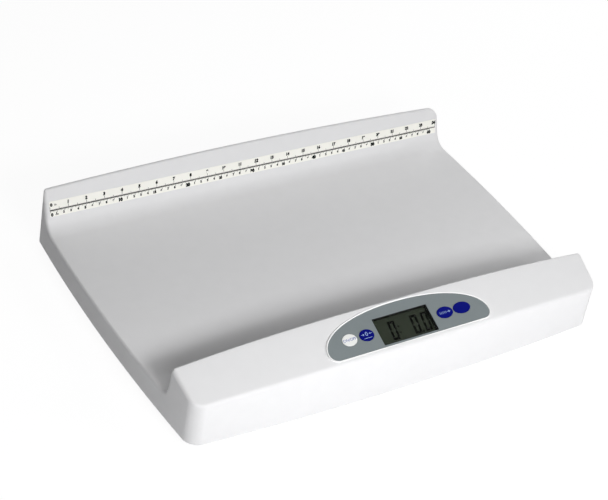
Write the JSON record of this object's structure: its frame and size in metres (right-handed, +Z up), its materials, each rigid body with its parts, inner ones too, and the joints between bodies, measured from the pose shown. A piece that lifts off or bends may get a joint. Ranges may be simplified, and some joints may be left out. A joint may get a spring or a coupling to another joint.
{
  "type": "baby weighing scale",
  "caption": "Low-profile digital baby weighing scale: moulded tray with a sloping key-and-display console in front, a low back wall with a measuring strip, load-cell feet.",
  "frame": {"origin": "on the table, under the middle of the scale's outline", "axes": "+X to the user's right along the tray's length, +Y from the console towards the back wall, +Z up"},
  "size_m": [0.6298, 0.4258, 0.1002],
  "materials": {
    "tray_white": "satin moulded ABS",
    "ruler_film": "printed self-adhesive film",
    "panel_white": "satin moulded ABS",
    "panel_grey": "fine-textured printed polycarbonate sheet",
    "lens_clear": "clear acrylic",
    "frame_black": "moulded",
    "lcd_olive": "reflective liquid-crystal glass",
    "zebra_rubber": "layered conductive elastomer",
    "key_white": "moulded",
    "key_blue": "moulded",
    "plunger_red": "moulded",
    "switch_black": "moulded",
    "board_green": "solder-masked glass fibre",
    "chip_black": "moulded epoxy",
    "screw_steel": "zinc-plated",
    "spring_steel": "nickel-plated",
    "pan_white": "fine-textured moulded ABS",
    "cell_jacket": "printed steel jacket",
    "contact_brass": "tin-washed sheet",
    "gauge_steel": "stamped spring steel",
    "holder_white": "moulded nylon",
    "cup_grey": "moulded nylon",
    "pad_rubber": "soft non-slip",
    "ribbon_grey": "flat cable",
    "wire_red": "insulated wire",
    "wire_black": "insulated wire",
    "inlet_black": "moulded",
    "beeper_brass": "disc in a resin ring"
  },
  "bodies": {
    "housing": {"tray_shell": "tray_white", "ruler_strip": "ruler_film", "panel_carrier": "panel_white", "panel_sheet": "panel_grey", "display_lens": "lens_clear", "lcd_frame": "frame_black", "lcd_glass": "lcd_olive", "lcd_connectors": "zebra_rubber", "switch_bodies": "switch_black", "display_board": "board_green", "display_chips": "chip_black", "board_screws": "screw_steel", "push_nuts": "spring_steel", "base_pan": "pan_white", "pan_screws": "screw_steel", "battery_cells": "cell_jacket", "contact_springs": "spring_steel", "contact_plates": "contact_brass", "main_board": "board_green", "main_chips": "chip_black", "main_screws": "screw_steel", "load_cells": "gauge_steel", "cell_frames": "holder_white", "foot_cups": "cup_grey", "foot_pads": "pad_rubber", "display_ribbon": "ribbon_grey", "cell_wires": "wire_red", "battery_leads": "wire_black", "power_inlet": "inlet_black", "inlet_lead": "wire_black", "beeper": "beeper_brass"},
    "power_key": {"key_power": "key_white", "plunger_power": "plunger_red"},
    "clear_key": {"key_clear": "key_blue", "plunger_clear": "plunger_red"},
    "release_key": {"key_release": "key_blue", "plunger_release": "plunger_red"},
    "units_key": {"key_units": "key_blue", "plunger_units": "plunger_red"},
    "battery_door": {"battery_door": "pan_white"}
  },
  "joints": [
    {"name": "power_key_press", "type": "slide", "parent": "housing", "child": "power_key", "axis": [0, 0.3382, -0.9411], "range_m": [0, 0.0008], "stiffness_N_per_m": 1500, "springref_m": -0.0003},
    {"name": "clear_key_press", "type": "slide", "parent": "housing", "child": "clear_key", "axis": [0, 0.3382, -0.9411], "range_m": [0, 0.0008], "stiffness_N_per_m": 1500, "springref_m": -0.0003},
    {"name": "release_key_press", "type": "slide", "parent": "housing", "child": "release_key", "axis": [0, 0.3382, -0.9411], "range_m": [0, 0.0008], "stiffness_N_per_m": 1500, "springref_m": -0.0003},
    {"name": "units_key_press", "type": "slide", "parent": "housing", "child": "units_key", "axis": [0, 0.3382, -0.9411], "range_m": [0, 0.0008], "stiffness_N_per_m": 1500, "springref_m": -0.0003},
    {"name": "battery_door_slide", "type": "slide", "parent": "housing", "child": "battery_door", "axis": [0, 1, 0], "range_m": [0, 0.058]}
  ]
}
